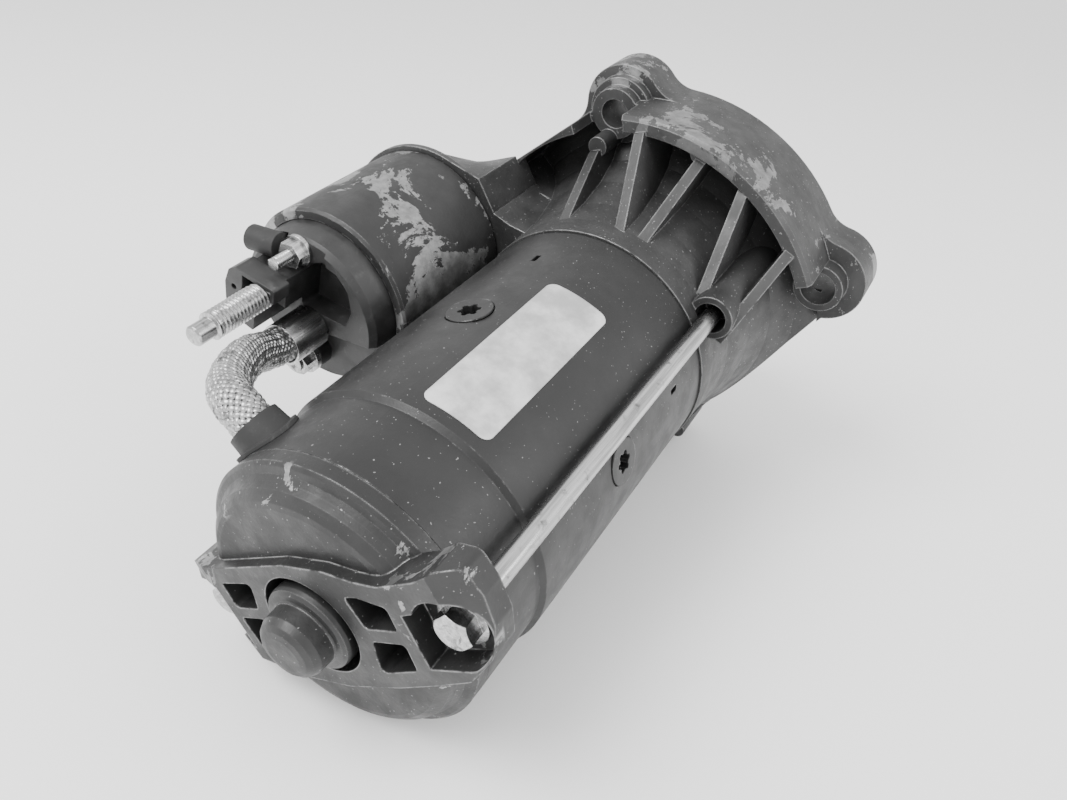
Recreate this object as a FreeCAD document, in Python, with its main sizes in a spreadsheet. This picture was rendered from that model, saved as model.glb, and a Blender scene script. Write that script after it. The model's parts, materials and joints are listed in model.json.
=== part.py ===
import FreeCAD, Part
import math
import os
import re
import Sketcher

# Starter motor. X runs along the armature shaft towards the drive end, Z is up.
# The origin is the centre of the mounting flange's front face, on the shaft axis.
# Angles about the shaft are counted from +Y towards +Z.

DIMENSIONS = {
    # drive-end housing
    "flange_plate": 9, "ear_depth": 13.4, "rim_depth": 32.4, "rim_radius": 62, "rim_bore": 57.5,
    "facet_distance": 58.2, "facet_angle": 52,
    "ear_centre": 59, "ear_radius": 13, "ear_hole": 4.4, "ear_hole_wide": 5.3,
    "ear_a_angle": 76.5, "ear_b_angle": 164.5, "ear_c_angle": 300,
    "neck_radius": 38.6, "neck_bore": 33, "clutch_room": 28,
    "nose_length": 36, "nose_radius": 25, "nose_bore": 20.5, "nose_tip_radius": 14,
    "pilot_radius": 41, "pilot_height": 3.5,
    # yoke, the steel tube that carries the field poles
    "seam_x": -62.4, "step_x": -151.4, "yoke_rear_x": -173.2,
    "yoke_radius": 38, "yoke_tail_radius": 36.74, "yoke_bore": 34.4,
    "pole_x": -112, "pole_length": 56, "pole_face_radius": 27.1, "pole_first_angle": 79, "brush_first_angle": -0.5,
    "pole_screw_head": 6.2, "pole_screw_rod": 3,
    # end cap
    "cap_rim_x": -177.9, "cap_face_x": -183.4, "cap_bar_x": -186.4, "cap_inner_x": -175.4,
    "cap_rim_radius": 36.7, "pocket_floor_x": -178.2, "bar_angle": 152,
    "bolt_circle": 41.7, "bolt_radius": 2.5, "bolt_tip_x": -40,
    "seat_a_x": -180.4, "seat_b_x": -175.9,
    # shaft and what turns with it
    "journal_radius": 6, "seat_radius": 8.5, "drive_radius": 8, "front_radius": 7,
    "core_radius": 26.4, "core_front_x": -83, "core_rear_x": -141,
    "commutator_radius": 19, "running": 0.05,
    # sliding drive
    "collar_x": -50, "shell_rear_x": -42, "shell_length": 20, "shell_radius": 24,
    "race_radius": 10.5, "pinion_rear_x": -14, "pinion_width": 18, "pinion_module": 2.5,
    "pinion_teeth": 10, "drive_travel": 12,
    # solenoid
    "solenoid_y": 64.08, "solenoid_z": 18.81, "can_radius": 27.86, "can_front_x": -53.9,
    "can_rear_x": -102.6, "plunger_radius": 9.95,
    "stud_side": 4.2, "stud_height": 10.4, "stud_radius": 4, "stud_tip_x": -147.8,
    "motor_side": 3.1, "motor_height": -15.1, "motor_radius": 3, "stud_seat_x": -118.5,
    "bar_front_x": -176.8,
    "block_rear_x": -125.5, "base_rear_x": -111.4, "boss_rear_x": -107, "lug_x": -111.6,
    # shift lever
    "pivot_radius": 36.4, "pivot_x": -44, "pivot_pin_radius": 3, "lever_thickness": 6,
    # field lead
    "lead_radius": 5.6,
}

doc = FreeCAD.newDocument("starter_motor")
sheet = doc.addObject("Spreadsheet::Sheet", "Sizes")
for row, (alias, value) in enumerate(DIMENSIONS.items(), start=1):
    sheet.set(f"A{row}", alias)
    sheet.set(f"B{row}", str(value))
    sheet.setAlias(f"B{row}", alias)
doc.recompute()

Vector = FreeCAD.Vector
nodes = []


# ---------------------------------------------------------------- helpers

def bound(expression):
    """The expression with every sheet alias written as a reference to the sheet."""
    def reference(word):
        return f"Sizes.{word[0]}" if word[0] in DIMENSIONS else word[0]
    return re.sub(r"[a-z][a-z_]+", reference, str(expression))


def size(expression):
    """The value of an expression of sheet aliases."""
    return float(sheet.evalExpression(bound(expression)))


def radial(radius, angle, station=0.0):
    """The point at a distance from the shaft axis, at an angle about it."""
    turn = math.radians(angle)
    return Vector(station, radius * math.cos(turn), radius * math.sin(turn))


def along_x(origin, angle=0.0):
    """A placement whose local Z is the shaft's direction and whose local X points out at the angle."""
    turn = FreeCAD.Rotation(radial(1, angle), radial(1, angle + 90), Vector(1, 0, 0), "ZXY")
    return FreeCAD.Placement(origin, turn)


def outward(origin, angle):
    """A placement whose local Z points out at the angle and whose local X is the shaft's direction."""
    turn = FreeCAD.Rotation(Vector(1, 0, 0), radial(1, angle - 90), radial(1, angle), "ZXY")
    return FreeCAD.Placement(origin, turn)


def keep(target, label):
    """Marks an object as a sub-part of its own."""
    target.Label = label
    nodes.append(target)
    return target


def turned(name, profile, y="0", z="0"):
    """A body turned about an axis along X, from its half section: (station, radius) expressions in order."""
    body = doc.addObject("PartDesign::Body", name)
    sketch = body.newObject("Sketcher::SketchObject", name + "_profile")
    plane = next(feature for feature in body.Origin.OriginFeatures if feature.Role == "XZ_Plane")
    sketch.AttachmentSupport = [(plane, "")]
    sketch.MapMode = "FlatFace"
    corners = [Vector(size(station), size(radius), 0) for station, radius in profile]
    for index, corner in enumerate(corners):
        sketch.addGeometry(Part.LineSegment(corner, corners[(index + 1) % len(corners)]), False)
    for index in range(len(corners)):
        sketch.addConstraint(Sketcher.Constraint("Coincident", index, 2, (index + 1) % len(corners), 1))
    for index, (station, radius) in enumerate(profile):
        along = sketch.addConstraint(Sketcher.Constraint("DistanceX", -1, 1, index, 1, corners[index].x))
        sketch.setExpression(f"Constraints[{along}]", bound(station))
        if radius == "0":
            sketch.addConstraint(Sketcher.Constraint("PointOnObject", index, 1, -1))
        else:
            across = sketch.addConstraint(Sketcher.Constraint("DistanceY", -1, 1, index, 1, corners[index].y))
            sketch.setExpression(f"Constraints[{across}]", bound(radius))
    turn = body.newObject("PartDesign::Revolution", name + "_turn")
    turn.Profile = sketch
    turn.ReferenceAxis = (sketch, ["H_Axis"])
    turn.Angle = 360
    body.setExpression(".Placement.Base.y", bound(y))
    body.setExpression(".Placement.Base.z", bound(z))
    return body


def on_solenoid(name, profile):
    """A body turned about the solenoid's axis."""
    return turned(name, profile, "solenoid_y", "solenoid_z")


def cylinder(name, radius, length, placement):
    """A cylinder along the placement's Z."""
    rod = doc.addObject("Part::Cylinder", name)
    rod.Placement = placement
    rod.setExpression("Radius", bound(radius))
    rod.setExpression("Height", bound(length))
    return rod


def cone(name, first_radius, last_radius, length, placement):
    """A cone along the placement's Z."""
    shape = doc.addObject("Part::Cone", name)
    shape.Placement = placement
    shape.setExpression("Radius1", bound(first_radius))
    shape.setExpression("Radius2", bound(last_radius))
    shape.setExpression("Height", bound(length))
    return shape


def box(name, low, lengths, placement=FreeCAD.Placement()):
    """A box from its low corner, in the placement's own axes."""
    block = doc.addObject("Part::Box", name)
    for side, length in zip(("Length", "Width", "Height"), lengths):
        block.setExpression(side, bound(length))
    block.Placement = placement.multiply(FreeCAD.Placement(Vector(*[size(value) for value in low]),
                                                           FreeCAD.Rotation()))
    return block


def prism(name, outline, start, end, placement=FreeCAD.Placement()):
    """A block with an outline in the placement's X and Y, from start to end along its Z."""
    face = Part.Face(Part.makePolygon([Vector(a, b, start) for a, b in outline + outline[:1]]))
    block = doc.addObject("Part::Feature", name)
    block.Shape = face.extrude(Vector(0, 0, end - start))
    block.Placement = placement
    return block


def joined(name, pieces):
    """Pieces that touch or overlap, joined into one solid."""
    result = doc.addObject("Part::MultiFuse", name)
    result.Shapes = pieces
    result.Refine = True
    return result


def cut(name, base, tools):
    """The base with the tools taken away, one after the other."""
    result = base
    for index, tool in enumerate(tools, start=1):
        step = doc.addObject("Part::Cut", name if index == len(tools) else f"{name}_{index}")
        step.Base = result
        step.Tool = tool
        result = step
    result.Refine = True
    return result


def common(name, first, second):
    """What two shapes share."""
    result = doc.addObject("Part::Common", name)
    result.Base = first
    result.Tool = second
    return result


def group(name, pieces):
    """Separate solids that make one node."""
    result = doc.addObject("Part::Compound", name)
    result.Links = pieces
    return result


def ring_sector(name, inner, outer, start, length, middle, half_angle):
    """A piece of a ring about the shaft: half_angle to each side of its middle angle."""
    place = along_x(Vector(size(start), 0, 0), middle - half_angle)
    body = cylinder(name + "_outer", outer, length, place)
    body.Angle = 2 * half_angle
    room = cylinder(name + "_inner", inner, length, place)
    return cut(name, body, [room])


def hexagon(across_flats):
    """A hexagon's corners, from its width across flats."""
    corner = across_flats / math.sqrt(3)
    return [(corner * math.cos(math.radians(60 * step)),
             corner * math.sin(math.radians(60 * step))) for step in range(6)]


def solenoid_point(side, height, station):
    """A point from the solenoid's axis: side along Y, height along Z."""
    return Vector(station, size("solenoid_y") + side, size("solenoid_z") + height)


SHAFT = Vector(0, 0, 0)
SOLENOID_ANGLE = math.degrees(math.atan2(size("solenoid_z"), size("solenoid_y")))
SOLENOID_RADIUS = math.hypot(size("solenoid_y"), size("solenoid_z"))
POLE_ANGLES = [size("pole_first_angle") + 90 * step for step in range(4)]
BOLT_ANGLES = (size("bar_angle"), size("bar_angle") + 180)
LEAD_ROUTE = [Vector(-113.6, 63.6, 14.6), Vector(-127, 63.6, 14.6), Vector(-140.2, 59, 22.8),
              Vector(-158.6, 46.5, 28.2), Vector(-165.3, 32.6, 30.3), Vector(-165.5, 22.6, 22.9)]
LEAD_START = (LEAD_ROUTE[1] - LEAD_ROUTE[0]).normalize()


# ---------------------------------------------------------------- drive-end housing

def ear(name, angle, hole):
    """A mounting ear: a round pad blended into the rim, and the tool that drills it."""
    centre = radial(size("ear_centre"), angle, -size("ear_depth"))
    pad = cylinder(name + "_pad", "ear_radius", "ear_depth", along_x(centre))
    drill = cylinder(name + "_drill", hole, "ear_depth + 30", along_x(centre - Vector(20, 0, 0)))
    return pad, drill


def flange_outline():
    """The mounting flange: a disc with its facet and three ears, the corners between them rounded."""
    pads, drills = [], []
    for name, angle, hole in (("ear_a", "ear_a_angle", "ear_hole"), ("ear_b", "ear_b_angle", "ear_hole_wide"),
                              ("ear_c", "ear_c_angle", "ear_hole")):
        pad, drill = ear(name, size(angle), hole)
        pads.append(pad)
        drills.append(drill)
    disc = cylinder("flange_disc", "rim_radius", "ear_depth", along_x(Vector(-size("ear_depth"), 0, 0)))
    plate = joined("flange_plate_solid", [cut("flange_faceted", disc, [facet_tool("flange_facet")])] + pads)
    doc.recompute()
    blend = doc.addObject("Part::Fillet", "flange_blend")
    blend.Base = plate
    blend_radius = 10
    blend.Edges = [(index + 1, blend_radius, blend_radius) for index, edge in enumerate(plate.Shape.Edges)
                   if is_ear_corner(edge)]
    return blend, drills


def is_ear_corner(edge):
    """True for the straight edges along X where an ear meets the rim."""
    first, last = edge.firstVertex().Point, edge.lastVertex().Point
    along = abs(first.y - last.y) < 0.01 and abs(first.z - last.z) < 0.01 and abs(first.x - last.x) > 1
    outside = math.hypot(first.y, first.z) > size("facet_distance") - 1
    centres = [radial(size("ear_centre"), size(angle), first.x) for angle in ("ear_a_angle", "ear_b_angle",
                                                                              "ear_c_angle")]
    on_ear = any(abs(first.distanceToPoint(centre) - size("ear_radius")) < 0.05 for centre in centres)
    return along and outside and on_ear


def facet_tool(name):
    """What the rim's flat facet beside the solenoid leaves out."""
    return box(name, (-80, -30, size("facet_distance")), ("100", "60", "20"), outward(SHAFT,
                                                                                      size("facet_angle")))


def cutaway():
    """What the rim's cut-away by the lower ear leaves out, clear of the ear itself."""
    region = prism("cutaway_region", [(-66, 12.5), (-60.6, 5.3), (-29, -37.2), (-17.5, -59.3), (-26, -75),
                                      (-90, -50),
                                      (-90, 12.5)], -60, 10, flange_plane())
    ear_room = cylinder("cutaway_ear", "ear_radius", "100",
                        along_x(radial(size("ear_centre"), size("ear_b_angle"), -70)))
    return cut("cutaway", region, [ear_room])


def flange_plane():
    """Local X along Y, local Y along Z, local Z along X."""
    return FreeCAD.Placement(SHAFT, FreeCAD.Rotation(Vector(0, 1, 0), Vector(0, 0, 1), Vector(1, 0, 0),
                                                     "ZXY"))


def rib(name, foot, top, thickness=3.2, front=-4.0, root=6.0):
    """A slanted rib from the neck (foot) to the rim (top), each given as (station, radius, angle)."""
    low = radial(foot[1], foot[2])
    high = radial(top[1], top[2])
    direction = (high - low).normalize()
    sunk = low - direction * root
    corners = [low + Vector(foot[0], 0, 0), high + Vector(top[0], 0, 0), high + Vector(front, 0, 0),
               sunk + Vector(front, 0, 0), sunk + Vector(foot[0], 0, 0)]
    normal = direction.cross(Vector(1, 0, 0)).normalize() * thickness
    face = Part.Face(Part.makePolygon(corners + corners[:1]))
    face.translate(normal * -0.5)
    web = doc.addObject("Part::Feature", name)
    web.Shape = face.extrude(normal)
    return web


def ribs():
    """The ribs between the neck and the rim, and the small round bosses at their ends."""
    slanted = {
        "rib_a": ((-54, 38.5, 71), (-29.5, 50.5, 71.6)), "rib_b": ((-55, 38.5, 99), (-33.5, 58.3, 90.5)),
        "rib_c": ((-54, 38.5, 109.6), (-28, 58.5, 110)), "rib_d": ((-53, 40, 143.5), (-30.5, 58.5, 124.6)),
        "rib_e": ((-57, 46, 157), (-30, 60.5, 146.4)), "rib_f": ((-54, 38.5, 268), (-12, 58, 268)),
        "rib_g": ((-54, 38.5, 300), (-20, 52, 300)),
    }
    webs = [rib(name, foot, top) for name, (foot, top) in slanted.items()]
    for name, station, radius, angle, depth in (("rib_boss_a", -28, 51.5, 72.5, 24), ("rib_boss_c", -31, 58,
                                                                                      109, 26),
                                                ("lug_boss", -19, 58.2, 252.5, 18)):
        webs.append(cylinder(name, "3.1", depth, along_x(radial(radius, angle, station))))
    return webs


def tower_section(name, corners, crown, station):
    """A closed outline across the tower: its corners on one side, mirrored, with an arc over the crown."""
    place = along_x(SHAFT, SOLENOID_ANGLE)
    side = [Vector(out, across, station) for out, across in corners]
    far = [Vector(corner.x, -corner.y, corner.z) for corner in reversed(side)]
    edges = [Part.LineSegment(first, last).toShape() for first, last in zip(side, side[1:])]
    edges.append(Part.Arc(side[-1], Vector(crown, 0, station), far[0]).toShape())
    edges += [Part.LineSegment(first, last).toShape() for first, last in zip(far, far[1:])]
    edges.append(Part.LineSegment(far[-1], side[0]).toShape())
    outline = doc.addObject("Part::Feature", name)
    outline.Shape = Part.Wire(edges)
    outline.Placement = place
    return outline


def lever_tower():
    """The hollow arm from the neck out to the solenoid's mounting ring, and the rooms inside it."""
    place = along_x(SHAFT, SOLENOID_ANGLE)
    ring = on_solenoid("tower_ring", [("can_front_x", "0"), ("can_front_x", "29.2"), ("can_front_x + 2",
                                                                                      "29.2"),
                                      ("can_front_x + 2", "0")])
    cover = doc.addObject("Part::Loft", "tower_cover")
    cover.Sections = [
        tower_section("tower_rear_outline", [(45, 20.6), (52.7, 28.7), (65.7, 29.18)], SOLENOID_RADIUS + 29.2,
                      size("can_front_x")),
        tower_section("tower_front_outline", [(45, 20.6), (52.5, 28.5), (64, 18)], 77, -28)]
    cover.Solid = True
    cover.Ruled = True
    side = [(24, 20.6), (38.6, 19.6), (46.5, 20.6), (51, 24), (52.5, 28.4)]
    web = prism("tower_web", side + [(out, -across) for out, across in reversed(side)], size("can_front_x"),
                -28, place)
    foot = prism("tower_foot", [(24, 20), (55, 20), (55, -20), (24, -20)], -31, -8, place)
    arm = cut("tower_arm", joined("tower_arm_solid", [ring, cover, web, foot]), [facet_top()])
    rooms = [
        on_solenoid("tower_room", [("-48.5", "0"), ("-48.5", "20"), ("-45.5", "20"), ("-34", "10.5"),
                                   ("-31", "0")]),
        box("tower_middle_room", (25, -15, -49.3), ("37", "30", "19.3"), place),
        box("tower_lever_slot", (32, -5, -52.4), ("36", "10", "6"), place),
        box("tower_front_room", (25, -13.5, -31), ("19", "27", "15"), place),
    ]
    return [arm], rooms


def drive_housing():
    flange, drills = flange_outline()
    shell = turned("housing_turned", [
        ("seam_x", "0"), ("seam_x", "neck_radius"), ("-54", "neck_radius"), ("-44", "neck_radius + 0.8"),
        ("-32", "neck_radius + 3"), ("-22", "neck_radius + 6.4"), ("-14", "neck_radius + 12"), ("-9.5",
                                                                                                "rim_bore - 0.5"),
        ("-9.5", "rim_bore"),
        ("-rim_depth", "rim_bore"), ("-rim_depth", "rim_radius - 1"), ("-rim_depth + 1.4", "rim_radius"),
        ("-1", "rim_radius"), ("-1", "nose_radius + 6"), ("0", "nose_radius"), ("nose_length - 14",
                                                                                "nose_radius"),
        ("nose_length", "nose_tip_radius"), ("nose_length", "0")])
    pilot = cylinder("pilot", "pilot_radius", "pilot_height + 3", along_x(Vector(-3, 0, 0)))
    band_cut = ring_sector("band_cut", "neck_radius + 14", "rim_radius + 8", "-rim_depth - 1",
                           "rim_depth + 1 - ear_depth",
                           241, 83)
    tower, rooms = lever_tower()
    boss_b = radial(size("ear_centre"), size("ear_b_angle"), -size("ear_depth") + 0.5)
    bosses = [
        cylinder("ear_boss_tall", "7.8", "12", along_x(radial(size("ear_centre"), size("ear_a_angle"),
                                                              -20.4))),
        cylinder("ear_boss_collar", "10", "8", along_x(radial(size("ear_centre"), size("ear_a_angle"),
                                                              -16.6))),
        cylinder("ear_boss_low", "7.6", "8", along_x(boss_b - Vector(6, 0, 0))),
    ]
    tunnels = [cylinder(f"bolt_tunnel_{index}", "6.6", "50", along_x(radial(size("bolt_circle"), angle,
                                                                            -57.4)))
               for index, angle in enumerate(BOLT_ANGLES)]
    mouths = [cylinder(f"bolt_mouth_{index}", "4.6", "9", along_x(radial(size("bolt_circle"), angle, -58)))
              for index, angle in enumerate(BOLT_ANGLES)]
    holes = [cylinder(f"bolt_hole_{index}", "bolt_radius", "22", along_x(radial(size("bolt_circle"), angle,
                                                                                -60)))
             for index, angle in enumerate(BOLT_ANGLES)]
    recess = ring_sector("rim_recess", "neck_radius + 2", "rim_bore", "-ear_depth - 1",
                         "ear_depth + 1 - flange_plate",
                         0, 180)
    flange_ring = cut("flange_ring", flange, [recess])
    faceted = cut("housing_faceted", shell, [facet_tool("shell_facet"), band_cut])
    boss_room = cylinder("ear_boss_room", "8.6", "20", along_x(radial(size("ear_centre"),
                                                                      size("ear_a_angle"), -40.4)))
    rim_part = cut("housing_rim", joined("housing_rim_solid", [flange_ring, faceted]), [cutaway(), boss_room])
    solid = joined("housing_solid", [rim_part, pilot] + tower + ribs() + bosses + tunnels)
    inner = turned("housing_room", [
        ("seam_x - 8", "0"), ("seam_x - 8", "neck_bore + 1.4"), ("-57", "neck_bore + 1.4"), ("-57",
                                                                                             "neck_bore"),
        ("-34", "neck_bore - 1"), ("-22", "clutch_room"), ("-7", "clutch_room"), ("-7", "nose_bore"),
        ("nose_length - 13", "nose_bore"), ("nose_length - 13", "8"), ("nose_length - 1.6", "8"),
        ("nose_length - 1.6", "0")])
    window = prism("nose_window", [(-13, 0), (13, 0), (20, 40), (-20, 40)], 4, 21, along_x(SHAFT, 216 - 90))
    opening = cylinder("plunger_opening", "plunger_radius + 2", "10",
                       along_x(solenoid_point(0, 0, size("can_front_x") - 1)))
    pin_hole = cylinder("pivot_hole", "pivot_pin_radius", "58", pivot_placement(-40))
    screw_holes = [cylinder(f"solenoid_screw_hole_{index}", "2.5", "12", along_x(point))
                   for index, point in enumerate(solenoid_screw_points(-4))]
    drillings = [group("housing_drills", drills + screw_holes + mouths), group("housing_bolt_holes", holes)]
    cast = cut("housing_cast", solid, [inner, opening, pin_hole, window] + rooms + drillings)
    keep(cast, "drive_housing")


def facet_top():
    """Trims the tower level with the flat facet of the rim, forward of the solenoid."""
    return box("facet_trim", (-32.4, -30, size("facet_distance")), ("60", "60", "40"),
               outward(SHAFT, size("facet_angle")))


def pivot_placement(start):
    """The lever's pivot axis, square to the plane that holds both main axes."""
    centre = radial(size("pivot_radius"), SOLENOID_ANGLE, size("pivot_x"))
    across = radial(1, SOLENOID_ANGLE + 90)
    place = FreeCAD.Placement(centre + across * start, FreeCAD.Rotation(Vector(0, 0, 1), across))
    return place


def solenoid_screw_points(offset):
    """Where the screws that hold the solenoid pass its mounting ring."""
    spread = 15.4
    return [solenoid_point(spread * math.cos(math.radians(angle)), spread * math.sin(math.radians(angle)),
                           size("can_front_x") + offset) for angle in (16, 136, 256)]


# ---------------------------------------------------------------- yoke and field

def pole_screw_tool(name, angle):
    """The countersink and hole of one pole screw."""
    rod = cylinder(name + "_rod", "pole_screw_rod", "12", outward(radial(30, angle, size("pole_x")), angle))
    sink = cone(name + "_sink", "pole_screw_rod", "pole_screw_head + 0.3", "3.4",
                outward(radial(34.3, angle, size("pole_x")), angle))
    top = cylinder(name + "_top", "pole_screw_head + 0.3", "4", outward(radial(37.7, angle, size("pole_x")),
                                                                        angle))
    return [rod, sink, top]


def yoke():
    tube = turned("yoke_tube", [
        ("seam_x", "yoke_bore"), ("seam_x", "yoke_radius"), ("step_x", "yoke_radius"),
        ("step_x - 1.3", "yoke_tail_radius"), ("yoke_rear_x", "yoke_tail_radius"), ("yoke_rear_x",
                                                                                    "yoke_bore")])
    tools = []
    for index, angle in enumerate(POLE_ANGLES):
        tools += pole_screw_tool(f"yoke_pole_{index}", angle)
    for index, angle in enumerate((80, 166)):
        tools.append(box(f"stake_notch_{index}", (-1.8, -0.7, -1.2), ("3.6", "1.4", "3"),
                         outward(radial(size("yoke_radius"), angle, -80.4), angle)))
    tools.append(cylinder("lead_hole", "6.4", "14", grommet_axis(-1)))
    keep(cut("yoke_machined", tube, tools), "yoke")


def pole_shoes():
    shoes = []
    for index, angle in enumerate(POLE_ANGLES):
        start = "pole_x - pole_length / 2"
        body = ring_sector(f"shoe_body_{index}", "30.4", "yoke_bore", start, "pole_length", angle, 17)
        tip = ring_sector(f"shoe_tip_{index}", "pole_face_radius", "30.4", start, "pole_length", angle, 30)
        drill = cylinder(f"shoe_drill_{index}", "pole_screw_rod", "12", outward(radial(28.5, angle,
                                                                                       size("pole_x")), angle))
        shoes.append(cut(f"shoe_{index}", joined(f"shoe_solid_{index}", [body, tip]), [drill]))
    keep(group("shoes", shoes), "pole_shoes")


def pole_screws():
    screws = []
    for index, angle in enumerate(POLE_ANGLES):
        base = radial(28.5, angle, size("pole_x"))
        rod = cylinder(f"screw_rod_{index}", "pole_screw_rod", "9", outward(base, angle))
        sink = cone(f"screw_sink_{index}", "pole_screw_rod", "pole_screw_head", "3.4",
                    outward(radial(34.3, angle, size("pole_x")), angle))
        top = cylinder(f"screw_top_{index}", "pole_screw_head", "0.5", outward(radial(37.7, angle,
                                                                                      size("pole_x")), angle))
        recess = [cylinder(f"torx_core_{index}", "2.3", "4", outward(radial(35.6, angle, size("pole_x")),
                                                                     angle))]
        for lobe in range(6):
            turn = math.radians(60 * lobe)
            corner = outward(radial(35.6, angle, size("pole_x")), angle).multVec(
                Vector(2.3 * math.cos(turn), 2.3 * math.sin(turn), 0))
            recess.append(cylinder(f"torx_lobe_{index}_{lobe}", "0.8", "4", outward(corner, angle)))
        screws.append(cut(f"screw_{index}", joined(f"screw_solid_{index}", [rod, sink, top]), recess))
    keep(group("screws", screws), "pole_screws")


def field_coils():
    coils = []
    for index, angle in enumerate(POLE_ANGLES):
        start = "pole_x - pole_length / 2"
        outer = ring_sector(f"coil_outer_{index}", "30.7", "34.1", start + " - 6", "pole_length + 12",
                            angle, 38)
        window = ring_sector(f"coil_window_{index}", "29", "36", start + " - 0.3", "pole_length + 0.6",
                             angle, 17.6)
        coils.append(cut(f"coil_{index}", outer, [window]))
    keep(group("coils", coils), "field_coils")


# ---------------------------------------------------------------- end cap

def bar_point(across, up):
    """A point of the end cap's crossbar in the flange's Y and Z: across along the bar, up square to it."""
    turn = math.radians(size("bar_angle"))
    return (across * math.cos(turn) + up * math.sin(turn), across * math.sin(turn) - up * math.cos(turn))


def bar_block(name, outline, start, end):
    """A block with its outline in the crossbar's own axes, between two stations."""
    return prism(name, [bar_point(*corner) for corner in outline], start, end, flange_plane())


def rounded(name, block, radius):
    """The block with its edges along X rounded."""
    doc.recompute()
    result = doc.addObject("Part::Fillet", name)
    result.Base = block
    result.Edges = [(index + 1, radius, radius) for index, edge in enumerate(block.Shape.Edges)
                    if abs(edge.firstVertex().Point.x - edge.lastVertex().Point.x) > 1]
    return result


def end_cap():
    cup = turned("cap_cup", [
        ("yoke_rear_x", "cap_rim_radius - 3.6"), ("yoke_rear_x", "cap_rim_radius"), ("cap_rim_x + 0.8",
                                                                                     "cap_rim_radius"),
        ("cap_rim_x", "cap_rim_radius - 0.9"), ("cap_rim_x - 0.5", "34.2"), ("cap_rim_x - 1.7", "33.2"),
        ("cap_rim_x - 3.4", "32.6"), ("cap_face_x + 1.2", "31.6"), ("cap_face_x + 0.3",
                                                                    "30.4"), ("cap_face_x", "29"),
        ("cap_face_x", "0"), ("cap_inner_x", "0"), ("cap_inner_x", "cap_rim_radius - 3.6")])
    outline = [(-45, -6), (-38, -9.5), (-29, -12.6), (-14, -16.6), (0, -17.6), (17.6, -15.8), (31, -13.4),
               (41, -11.2),
               (48, -6.5), (51, 0), (51.8, 7), (51, 13.5), (46, 14.8), (40, 13), (29, 11.6), (22.5, 12.7),
               (14.8, 15.1), (2.4, 16.5), (-13, 15.7), (-24, 15.2), (-32, 15.8), (-40, 14), (-46.5,
                                                                                             7), (-47.5, 0)]
    bar = rounded("cap_bar_round", bar_block("cap_bar", outline, size("cap_bar_x"), -167), 2.2)
    thin_bar = cut("cap_bar_thin", bar, [
        bar_block("cap_bar_front", [(-38, -40), (60, -40), (60, 40), (-38, 40)], size("bar_front_x"), -160),
        bar_block("cap_ear_front", [(-60, -40), (-38, -40), (-38, 40), (-60, 40)],
                  size("bar_front_x") + 4.8, -160)])
    slopes = [
        prism("cap_slope_right", [(44, 186.6), (54, 186.6), (54, 181)], -30, 30, slope_placement()),
        prism("cap_slope_left", [(-29, 186.6), (-60, 186.6), (-60, 177.5), (-43, 181.2)], -30, 30,
              slope_placement()),
    ]
    pockets = [
        bar_block("pocket_right_upper", [(18.2, 0.4), (28, 0.4), (28.6, 6.4), (21.3, 8.6), (17.2, 8.6)],
                  size("cap_bar_x") - 1, size("pocket_floor_x")),
        bar_block("pocket_right_lower", [(18, -3), (27.8, -3), (26.8, -10), (14.6, -12)],
                  size("cap_bar_x") - 1, size("pocket_floor_x")),
        bar_block("pocket_left_upper", [(-25.7, 3.6), (-17, 3.6), (-13.6, 11), (-25.4, 10.8)],
                  size("cap_bar_x") - 1, size("pocket_floor_x")),
        bar_block("pocket_left_lower", [(-26.5, 0.6), (-17.4, 0.6), (-15.5, -8.5), (-26, -8.5)],
                  size("cap_bar_x") - 1, size("pocket_floor_x")),
    ]
    rounded_pockets = [rounded(pocket.Name + "_round", pocket, 1.2) for pocket in pockets]
    seat_a = joined("seat_a_room", [
        cylinder("seat_a_round", "8.4", "20", along_x(radial(size("bolt_circle"), BOLT_ANGLES[0],
                                                             size("seat_a_x") - 20))),
        bar_block("seat_a_side", [(31.2, -9), (42, -8.4), (42, 6.4), (31.8, 4.6)], -200, size("seat_a_x"))])
    seat_b = joined("seat_b_room", [
        cylinder("seat_b_round", "7", "20", along_x(radial(size("bolt_circle"), BOLT_ANGLES[1],
                                                           size("seat_b_x") - 20))),
        bar_block("seat_b_side", [(-29, -9), (-42, -9), (-56, -16), (-56, 6.2), (-42, 7), (-29, 9.5)], -200,
                  size("seat_b_x"))])
    boss = turned("cap_boss", [("cap_inner_x", "0"), ("-187.4", "0"), ("-187.4", "10.15"), ("cap_inner_x",
                                                                                            "10.15")])
    well = turned("cap_well", [("cap_bar_x - 1", "10.15"), ("cap_bar_x - 1", "13.1"), ("pocket_floor_x",
                                                                                       "13.1"),
                               ("pocket_floor_x", "10.15")])
    bush_hole = cylinder("cap_bush_hole", "8", "20", along_x(Vector(-190, 0, 0)))
    holes = [cylinder(f"cap_bolt_hole_{index}", "bolt_radius + 0.3", "40",
                      along_x(radial(size("bolt_circle"), angle, -200)))
             for index, angle in enumerate(BOLT_ANGLES)]
    tube_room = cylinder("cap_tube_room", "yoke_radius + 0.5", "20", along_x(Vector(size("yoke_rear_x"), 0,
                                                                                    0)))
    hollow = cylinder("cap_hollow", "cap_rim_radius - 3.6", "20", along_x(Vector(size("cap_inner_x"), 0, 0)))
    blank = cut("cap_blank", joined("cap_solid", [cup, thin_bar]), [well, hollow,
                                                                    tube_room] + slopes + rounded_pockets
                + [seat_a, seat_b])
    keep(cut("cap_machined", joined("cap_with_boss", [blank, boss]), [bush_hole] + holes), "end_cap")


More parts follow.
